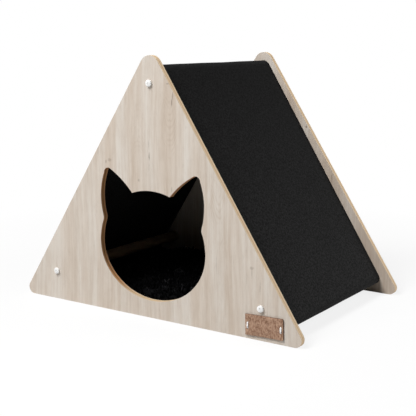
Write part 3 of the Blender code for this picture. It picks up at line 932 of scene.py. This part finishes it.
enamel = white_enamel()
zinc = zinc_alloy()
for side in ("front", "rear"):
    for place in ("ridge", "left", "right"):
        dress(side + "_" + place + "_screw", enamel)
        dress(side + "_" + place + "_insert", zinc)
print("fasteners dressed")

# %% [markdown]
# ## Leather label
# The label is a plain strip of brown leather with nothing on it. The grain is a cell pattern drawn out
# a little upwards, with darker veins between the cells, and the cut edges are nearly black-brown, partly
# their own darker colour and partly painted shade. Its solid is copied, its outer rims get a small round,
# and it is cut finely enough to cup by a hair.

# %% Leather
LEATHER = colour(183, 149, 125)
LEATHER_DEEP = colour(130, 94, 71)
LEATHER_VEIN = colour(98, 66, 47)
LEATHER_CUT_AND_SHADE = colour(84, 57, 42)


def leather():
    finish = Finish("brown_leather", {"Specular IOR Level": 0.35})
    warped = finish.cloud((160, 160, 90), detail=2.0)
    x, y, z = finish.axes()
    bent = finish.vector(x + warped * 0.004, y, z)
    cell_place = finish.stretched((330, 330, 170), vector=bent)
    settings = {"feature": "DISTANCE_TO_EDGE"}
    cells = finish.node("ShaderNodeTexVoronoi", settings, {"Vector": cell_place, "Scale": 1.0})
    veins = 1 - cells.rise(0.0, 0.14)
    streaks = finish.cloud((560, 560, 190), detail=3.0, rough=0.65, vector=bent)
    stains = finish.cloud((190, 190, 120), detail=3.0, rough=0.6)
    tint = finish.mix(streaks.rise(0.43, 0.64) * 0.85 + stains.rise(0.42, 0.70) * 0.35, LEATHER, LEATHER_DEEP)
    tint = finish.mix(veins * stains.rise(0.35, 0.60) * 0.5, tint, LEATHER_VEIN)
    finish.set("Base Color", tint)
    finish.set("Roughness", 0.55 + streaks * 0.2)
    finish.bump(cells.at_most(0.3) * 2 + streaks, 0.0002)
    return finish


def leather_edge():
    finish = Finish("leather_edge", {"Specular IOR Level": 0.25})
    fibres = finish.cloud((1200, 2600, 1200), detail=3.0)
    # Partly painted shade: the edge's own dark colour is deepened further for the shade on the label's
    # thickness.
    finish.set("Base Color", finish.shade(finish.mix(fibres, LEATHER_CUT_AND_SHADE, LEATHER_VEIN), 0.8 + fibres * 0.3))
    finish.set("Roughness", 0.7 + fibres * 0.2)
    finish.bump(fibres, 0.0001)
    return finish


# %% Label
LABEL_ROUND = 0.0004
LABEL_STEP = 0.004
LABEL_CUP = 0.0005                # how far the corners stand off
label_low, label_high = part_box("label")


def leather_label():
    bm = merged_copy("label")
    bm.normal_update()
    outer_rims = []
    for face in bm.faces:
        face.material_index = 0 if abs(face.normal.y) > 0.9 else 1
    for edge in bm.edges:
        level = abs(edge.verts[0].co.y - edge.verts[1].co.y) < MERGE
        in_front = edge.verts[0].co.y < label_low.y + MERGE * 2
        kinds = {face.material_index for face in edge.link_faces}
        if level and in_front and kinds == {0, 1}:
            outer_rims.append(edge)
    bmesh.ops.bevel(
        bm, geom=outer_rims, offset=LABEL_ROUND, offset_type="OFFSET", segments=2, profile=0.5,
        affect="EDGES", clamp_overlap=True, material=-1)
    slices(bm, 0, label_low.x, label_high.x, LABEL_STEP)
    slices(bm, 2, label_low.z, label_high.z, LABEL_STEP)
    centre = (label_low + label_high) / 2
    half = (label_high - label_low) / 2
    for vert in bm.verts:
        across = (vert.co.x - centre.x) / half.x
        up = (vert.co.z - centre.z) / half.z
        vert.co.y -= LABEL_CUP * (across * up) ** 2
    finishes = [leather(), leather_edge()]
    return finish_piece(bm, "leather_label", "house", finishes, replaces=["label"])


leather_label()

# %% [markdown]
# ## Label thread
# Each end of the label is held by one short loop of thick waxed white thread. A real thread is plied:
# the loop's section has three shallow lobes, and it turns as it goes along. The ring of the section is
# extruded step by step along the loop and turned a little each time. Pulled tight, the thread lies flat
# and wide on the leather, and keeps its own width in its holes.

# %% Thread loops
PLIES = 3
PLY_DEPTH = 0.06                  # how deep the grooves between the plies are, as a share of the radius
RING_POINTS = 18
THREAD_TURN = math.radians(34)    # from one step to the next
THREAD_PRESS = 0.5                # a tight thread lies flat on the leather, by this share of its depth
THREAD_SPREAD = 1.5               # and gets wider there, by this share of its width
BEND_STEPS = 6
white_thread = thread_finish("white_thread", colour(255, 255, 255), colour(249, 249, 247))


def loop_route(low, high, radius):
    """The loop's centreline: out of the board, up along the label and back in."""
    front = low.y + radius * (2 - THREAD_PRESS)
    bend = 2 * radius
    bottom = low.z + radius
    top = high.z - radius
    middle = (low.x + high.x) / 2
    route = [Vector((middle, high.y, bottom)), Vector((middle, front + bend + radius, bottom))]
    for step in range(BEND_STEPS + 1):
        angle = math.pi / 2 * step / BEND_STEPS
        forward = front + bend * (1 - math.sin(angle))
        route.append(Vector((middle, forward, bottom + bend * (1 - math.cos(angle)))))
    straight = top - bottom - 2 * bend
    runs = max(int(straight / (radius * 0.8)), 1)
    route += [Vector((middle, front, bottom + bend + straight * step / runs)) for step in range(1, runs)]
    way_in = reversed(route[:BEND_STEPS + 3])
    return route + [Vector((middle, point.y, bottom + top - point.z)) for point in way_in]


def plied_ring(radius, point, heading, turn, spread):
    """Place the section's ring at a point, square to the heading."""
    aim = heading.to_track_quat("Z", "X").to_matrix()
    points = []
    for number in range(RING_POINTS):
        angle = 2 * math.pi * number / RING_POINTS
        reach = radius * (1 - PLY_DEPTH * (0.5 - 0.5 * math.cos(PLIES * angle)))
        flat = Vector((math.cos(angle + turn), math.sin(angle + turn), 0)) * reach
        offset = aim @ flat
        offset.x *= spread
        offset.y *= THREAD_PRESS
        points.append(point + offset)
    return points


def thread_loop(node, name):
    low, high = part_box(node)
    radius = (high.x - low.x) / 2
    route = loop_route(low, high, radius)
    front = min(point.y for point in route)
    bm = bmesh.new()
    first = plied_ring(radius, route[0], route[1] - route[0], 0.0, 1.0)
    start = bm.faces.new([bm.verts.new(point) for point in first])
    end = start
    for number in range(1, len(route)):
        before = route[number - 1]
        after = route[min(number + 1, len(route) - 1)]
        grown = bmesh.ops.extrude_discrete_faces(bm, faces=[end])
        end = grown["faces"][0]
        on_label = 1 - smoothstep(route[number].y, front, front + 2 * radius)
        spread = 1 + (THREAD_SPREAD - 1) * on_label
        places = plied_ring(radius, route[number], after - before, number * THREAD_TURN, spread)
        for vert, place in zip(end.verts, places):
            vert.co = place
    bmesh.ops.recalc_face_normals(bm, faces=bm.faces)
    return finish_piece(bm, name, "house", [white_thread], replaces=[node], smooth=60)


for side in ("left", "right"):
    thread_loop("label_stitch_" + side, side + "_thread_loop")

# %% [markdown]
# ## Floor, lamps and background
# The photograph has a white background with hardly any shadow. The floor and the world show the camera
# plain white through Light Path, so that no extra light falls on the house for it, and the floor keeps
# a trace of real shading for the contact shadow. One large soft lamp stands high up front on the left,
# and a weaker one behind on the right, which lights the felt and the rear board at a glancing angle.

# %% Floor
FLOOR_SIZE = 12.0
FLOOR_GAP = 0.0002                # between the floor and the boards' lower edges
FLOOR_SHADOW = 0.15               # how much of the floor's look is real shading, close to the house
FLOOR_BOUNCE = 0.62               # what the floor gives back to the house
FLOOR_GLOW = 0.98                 # with the lamps' light, the floor is just white wherever no shadow falls
SHADOW_NEAR = 0.45                # from here on, measured from the house's middle, the shading fades
SHADOW_FAR = 0.90                 # and from here on the floor is plain white


def add_floor():
    bm = bmesh.new()
    bmesh.ops.create_grid(bm, x_segments=1, y_segments=1, size=FLOOR_SIZE / 2)
    bmesh.ops.translate(bm, vec=(0, 0, cad_low.z - FLOOR_GAP), verts=bm.verts)
    mesh = bpy.data.meshes.new("floor")
    bm.to_mesh(mesh)
    bm.free()
    floor = bpy.data.objects.new("floor", mesh)
    bpy.context.scene.collection.objects.link(floor)
    return floor


def floor_finish():
    finish = Finish("white_floor", {"Roughness": 0.9, "Specular IOR Level": 0.0})
    finish.set("Base Color", (FLOOR_BOUNCE, FLOOR_BOUNCE, FLOOR_BOUNCE, 1.0))
    seen = finish.node("ShaderNodeLightPath", output="Is Camera Ray")
    glossy = finish.node("ShaderNodeLightPath", output="Is Glossy Ray")
    through = finish.node("ShaderNodeLightPath", output="Is Transmission Ray")
    direct = (seen + glossy + through).at_most(1.0)
    white = finish.node("ShaderNodeEmission", {}, {"Color": (1, 1, 1, 1), "Strength": FLOOR_GLOW})
    shaded = finish.node("ShaderNodeBsdfDiffuse", {}, {"Color": (1, 1, 1, 1)})
    near_glow = finish.node("ShaderNodeMixShader", {}, {0: FLOOR_SHADOW, 1: white, 2: shaded})
    distance = finish.node("ShaderNodeVectorMath", {"operation": "LENGTH"}, {0: finish.place}, "Value")
    plain_white = finish.node("ShaderNodeEmission", {}, {"Color": (1, 1, 1, 1), "Strength": 1.0})
    away = distance.rise(SHADOW_NEAR, SHADOW_FAR)
    pale = finish.node("ShaderNodeMixShader", {}, {0: away, 1: near_glow, 2: plain_white})
    plain = Socket(finish, finish.shader.outputs[0])
    result = finish.node("ShaderNodeMixShader", {}, {0: direct, 1: plain, 2: pale})
    output = finish.tree.nodes["Material Output"]
    finish.tree.links.new(result.output, output.inputs["Surface"])
    return finish


floor_piece = add_floor()
floor_piece.data.materials.append(floor_finish().material)
print("floor:", FLOOR_SIZE, "m wide")

# %% Lamps
LAMPS = {
    "key": {"place": (-0.85, -1.75, 2.68), "size": 1.5, "power": 121.5},
    "back": {"place": (1.90, 1.10, 0.95), "size": 1.6, "power": 29.0},
}
LAMP_AIM = Vector((0.0, 0.0, 0.15))


def add_lamp(name, place, size, power):
    data = bpy.data.lights.new(name, "AREA")
    data.shape = "SQUARE"
    data.size = size
    data.energy = power
    lamp = bpy.data.objects.new(name, data)
    lamp.location = place
    lamp.rotation_mode = "QUATERNION"
    lamp.rotation_quaternion = (LAMP_AIM - Vector(place)).to_track_quat("-Z", "Y")
    bpy.context.scene.collection.objects.link(lamp)


for lamp_name, lamp in LAMPS.items():
    add_lamp(lamp_name, **lamp)
print("lamps:", ", ".join(LAMPS))

# %% World
AMBIENT = 0.018                   # the light that comes from all round


def add_world():
    world = bpy.data.worlds.new("studio")
    world.use_nodes = True
    nodes = world.node_tree.nodes
    links = world.node_tree.links
    background = nodes["Background"]
    path = nodes.new("ShaderNodeLightPath")
    direct = path.outputs["Is Camera Ray"]
    for ray in ("Is Glossy Ray", "Is Transmission Ray"):
        either = nodes.new("ShaderNodeMath")
        either.operation = "MAXIMUM"
        links.new(direct, either.inputs[0])
        links.new(path.outputs[ray], either.inputs[1])
        direct = either.outputs[0]
    strength = nodes.new("ShaderNodeMapRange")
    strength.inputs["To Min"].default_value = AMBIENT
    links.new(direct, strength.inputs["Value"])
    links.new(strength.outputs[0], background.inputs["Strength"])
    background.inputs["Color"].default_value = (1, 1, 1, 1)
    bpy.context.scene.world = world


add_world()
bpy.context.scene.view_settings.view_transform = "Standard"
print("world ready")
